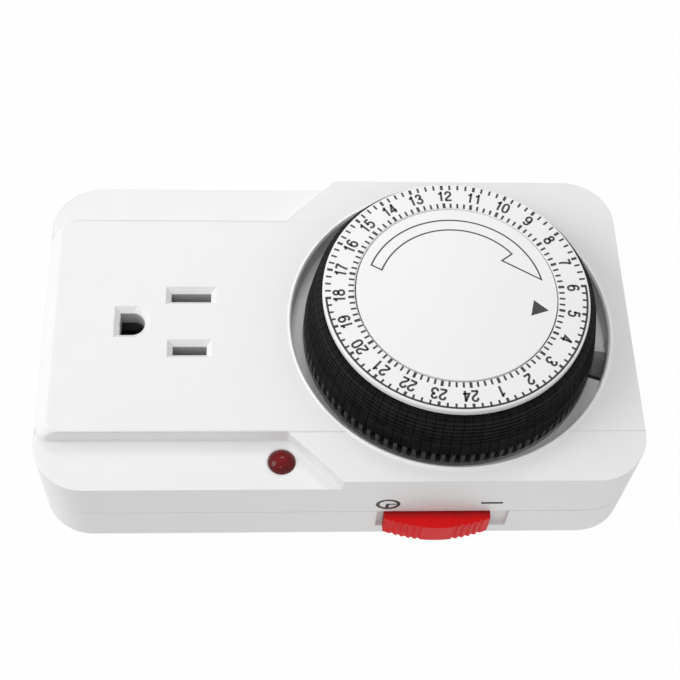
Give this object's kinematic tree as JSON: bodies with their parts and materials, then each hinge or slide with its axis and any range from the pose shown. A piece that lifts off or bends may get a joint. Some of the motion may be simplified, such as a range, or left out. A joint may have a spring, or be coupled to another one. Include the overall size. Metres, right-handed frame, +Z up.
{
  "type": "plug in timer switch",
  "caption": "Plug-in mechanical 24 hour timer switch: white housing with grounded outlet, push-down tripper dial, red override slider, indicator lamp, blades on the back",
  "frame": {"origin": "centre between the two plug blades, on the flat back face that lies against the wall", "axes": "+Y out of the back along the plug blades, -Y out of the face with the dial, +Z up along the housing towards the dial, +X to the side with the override slider"},
  "size_m": [0.0757, 0.0566, 0.1213],
  "materials": {
    "housing_white": "fine satin moulded surface",
    "screw_steel": "zinc plated",
    "lens_red": "clear deep red, polished",
    "lamp_glass": "clear glass",
    "resistor_tan": "lacquered",
    "brass": "rolled strip",
    "copper": "copper alloy",
    "silver": "silver alloy",
    "slider_red": "satin gloss moulding",
    "spring_steel": "hard drawn",
    "lever_grey": "moulded nylon",
    "motor_steel": "plated sheet",
    "natural_plastic": "moulded acetal",
    "magnet_dark": "sintered magnet",
    "tripper_black": "satin moulded surface",
    "dial_white": "smooth moulding, printed in black"
  },
  "bodies": {
    "housing": {"front_cover": "housing_white", "back_cover": "housing_white", "cover_screws": "screw_steel", "indicator_lens": "lens_red", "neon_lamp": "lamp_glass", "neon_resistor": "resistor_tan", "neutral_contact": "brass", "hot_contact": "brass", "ground_contact": "brass", "neutral_blade": "brass", "hot_blade": "brass", "ground_pin": "brass", "slider_spring": "spring_steel", "arbors": "screw_steel", "movement_plate": "screw_steel", "plate_screws": "screw_steel", "motor_case": "motor_steel", "motor_pole_plate": "motor_steel", "coil_bobbin": "natural_plastic", "coil_winding": "copper", "centre_disc": "dial_white", "centre_screw": "screw_steel"},
    "dial": {"dial_gear": "natural_plastic", "tripper_cage": "tripper_black", "number_ring": "dial_white"},
    "drive": {"drive_pinion": "natural_plastic", "clutch_spring": "spring_steel"},
    "rotor": {"motor_rotor": "magnet_dark"},
    "first_gear": {"gear_first": "natural_plastic"},
    "second_gear": {"gear_second": "natural_plastic"},
    "clutch": {"clutch_wheel": "natural_plastic"},
    "slider": {"override_slider": "slider_red"},
    "lever": {"follower_lever": "lever_grey", "lever_spring": "spring_steel"},
    "leaf": {"moving_leaf": "copper", "moving_contact": "silver"},
    "hour_01": {"trippers_hour_01": "tripper_black"},
    "hour_02": {"trippers_hour_02": "tripper_black"},
    "hour_03": {"trippers_hour_03": "tripper_black"},
    "hour_04": {"trippers_hour_04": "tripper_black"},
    "hour_05": {"trippers_hour_05": "tripper_black"},
    "hour_06": {"trippers_hour_06": "tripper_black"},
    "hour_07": {"trippers_hour_07": "tripper_black"},
    "hour_08": {"trippers_hour_08": "tripper_black"},
    "hour_09": {"trippers_hour_09": "tripper_black"},
    "hour_10": {"trippers_hour_10": "tripper_black"},
    "hour_11": {"trippers_hour_11": "tripper_black"},
    "hour_12": {"trippers_hour_12": "tripper_black"},
    "hour_13": {"trippers_hour_13": "tripper_black"},
    "hour_14": {"trippers_hour_14": "tripper_black"},
    "hour_15": {"trippers_hour_15": "tripper_black"},
    "hour_16": {"trippers_hour_16": "tripper_black"},
    "hour_17": {"trippers_hour_17": "tripper_black"},
    "hour_18": {"trippers_hour_18": "tripper_black"},
    "hour_19": {"trippers_hour_19": "tripper_black"},
    "hour_20": {"trippers_hour_20": "tripper_black"},
    "hour_21": {"trippers_hour_21": "tripper_black"},
    "hour_22": {"trippers_hour_22": "tripper_black"},
    "hour_23": {"trippers_hour_23": "tripper_black"},
    "hour_24": {"trippers_hour_24": "tripper_black"}
  },
  "joints": [
    {"name": "dial_turn", "type": "hinge", "parent": "housing", "child": "dial", "pos_m": [0, -0.03, 0.0536], "axis": [0, 1, 0], "continuous": true},
    {"name": "drive_turn", "type": "hinge", "parent": "housing", "child": "drive", "pos_m": [0, -0.018, 0.0341], "axis": [0, 1, 0], "continuous": true},
    {"name": "rotor_turn", "type": "hinge", "parent": "housing", "child": "rotor", "pos_m": [-0.0109, -0.008, 0.06687], "axis": [0, 1, 0], "continuous": true},
    {"name": "first_gear_turn", "type": "hinge", "parent": "housing", "child": "first_gear", "pos_m": [-0.00679, -0.014, 0.05559], "axis": [0, 1, 0], "continuous": true},
    {"name": "second_gear_turn", "type": "hinge", "parent": "housing", "child": "second_gear", "pos_m": [-0.0099, -0.0145, 0.044], "axis": [0, 1, 0], "continuous": true},
    {"name": "clutch_turn", "type": "hinge", "parent": "housing", "child": "clutch", "pos_m": [0, -0.016, 0.0341], "axis": [0, 1, 0], "continuous": true},
    {"name": "slider_slide", "type": "slide", "parent": "housing", "child": "slider", "axis": [0, 0, 1], "range_m": [0, 0.003]},
    {"name": "lever_swing", "type": "hinge", "parent": "housing", "child": "lever", "pos_m": [0.02228, -0.015, 0.0805], "axis": [0, 1, 0], "range_deg": [0, 4.9]},
    {"name": "leaf_flex", "type": "hinge", "parent": "housing", "child": "leaf", "pos_m": [0.02473, -0.007, 0.033], "axis": [0, -1, 0], "range_deg": [0, 3.13]},
    {"name": "tripper_push_01", "type": "slide", "parent": "dial", "child": "hour_01", "axis": [0, 1, 0], "range_m": [0, 0.0026]},
    {"name": "tripper_push_02", "type": "slide", "parent": "dial", "child": "hour_02", "axis": [0, 1, 0], "range_m": [0, 0.0026]},
    {"name": "tripper_push_03", "type": "slide", "parent": "dial", "child": "hour_03", "axis": [0, 1, 0], "range_m": [0, 0.0026]},
    {"name": "tripper_push_04", "type": "slide", "parent": "dial", "child": "hour_04", "axis": [0, 1, 0], "range_m": [0, 0.0026]},
    {"name": "tripper_push_05", "type": "slide", "parent": "dial", "child": "hour_05", "axis": [0, 1, 0], "range_m": [0, 0.0026]},
    {"name": "tripper_push_06", "type": "slide", "parent": "dial", "child": "hour_06", "axis": [0, 1, 0], "range_m": [0, 0.0026]},
    {"name": "tripper_push_07", "type": "slide", "parent": "dial", "child": "hour_07", "axis": [0, 1, 0], "range_m": [0, 0.0026]},
    {"name": "tripper_push_08", "type": "slide", "parent": "dial", "child": "hour_08", "axis": [0, 1, 0], "range_m": [0, 0.0026]},
    {"name": "tripper_push_09", "type": "slide", "parent": "dial", "child": "hour_09", "axis": [0, 1, 0], "range_m": [0, 0.0026]},
    {"name": "tripper_push_10", "type": "slide", "parent": "dial", "child": "hour_10", "axis": [0, 1, 0], "range_m": [0, 0.0026]},
    {"name": "tripper_push_11", "type": "slide", "parent": "dial", "child": "hour_11", "axis": [0, 1, 0], "range_m": [0, 0.0026]},
    {"name": "tripper_push_12", "type": "slide", "parent": "dial", "child": "hour_12", "axis": [0, 1, 0], "range_m": [0, 0.0026]},
    {"name": "tripper_push_13", "type": "slide", "parent": "dial", "child": "hour_13", "axis": [0, 1, 0], "range_m": [0, 0.0026]},
    {"name": "tripper_push_14", "type": "slide", "parent": "dial", "child": "hour_14", "axis": [0, 1, 0], "range_m": [0, 0.0026]},
    {"name": "tripper_push_15", "type": "slide", "parent": "dial", "child": "hour_15", "axis": [0, 1, 0], "range_m": [0, 0.0026]},
    {"name": "tripper_push_16", "type": "slide", "parent": "dial", "child": "hour_16", "axis": [0, 1, 0], "range_m": [0, 0.0026]},
    {"name": "tripper_push_17", "type": "slide", "parent": "dial", "child": "hour_17", "axis": [0, 1, 0], "range_m": [0, 0.0026]},
    {"name": "tripper_push_18", "type": "slide", "parent": "dial", "child": "hour_18", "axis": [0, 1, 0], "range_m": [0, 0.0026]},
    {"name": "tripper_push_19", "type": "slide", "parent": "dial", "child": "hour_19", "axis": [0, 1, 0], "range_m": [0, 0.0026]},
    {"name": "tripper_push_20", "type": "slide", "parent": "dial", "child": "hour_20", "axis": [0, 1, 0], "range_m": [0, 0.0026]},
    {"name": "tripper_push_21", "type": "slide", "parent": "dial", "child": "hour_21", "axis": [0, 1, 0], "range_m": [0, 0.0026]},
    {"name": "tripper_push_22", "type": "slide", "parent": "dial", "child": "hour_22", "axis": [0, 1, 0], "range_m": [0, 0.0026]},
    {"name": "tripper_push_23", "type": "slide", "parent": "dial", "child": "hour_23", "axis": [0, 1, 0], "range_m": [0, 0.0026]},
    {"name": "tripper_push_24", "type": "slide", "parent": "dial", "child": "hour_24", "axis": [0, 1, 0], "range_m": [0, 0.0026]}
  ],
  "couplings": [
    {"joint": "drive_turn", "follows": "dial_turn", "ratio": -5.5},
    {"joint": "first_gear_turn", "follows": "rotor_turn", "ratio": -0.2},
    {"joint": "second_gear_turn", "follows": "rotor_turn", "ratio": 0.04},
    {"joint": "clutch_turn", "follows": "rotor_turn", "ratio": -0.0066667},
    {"joint": "lever_swing", "follows": "slider_slide", "rad_per_m": 28.504},
    {"joint": "leaf_flex", "follows": "slider_slide", "rad_per_m": 18.183}
  ]
}
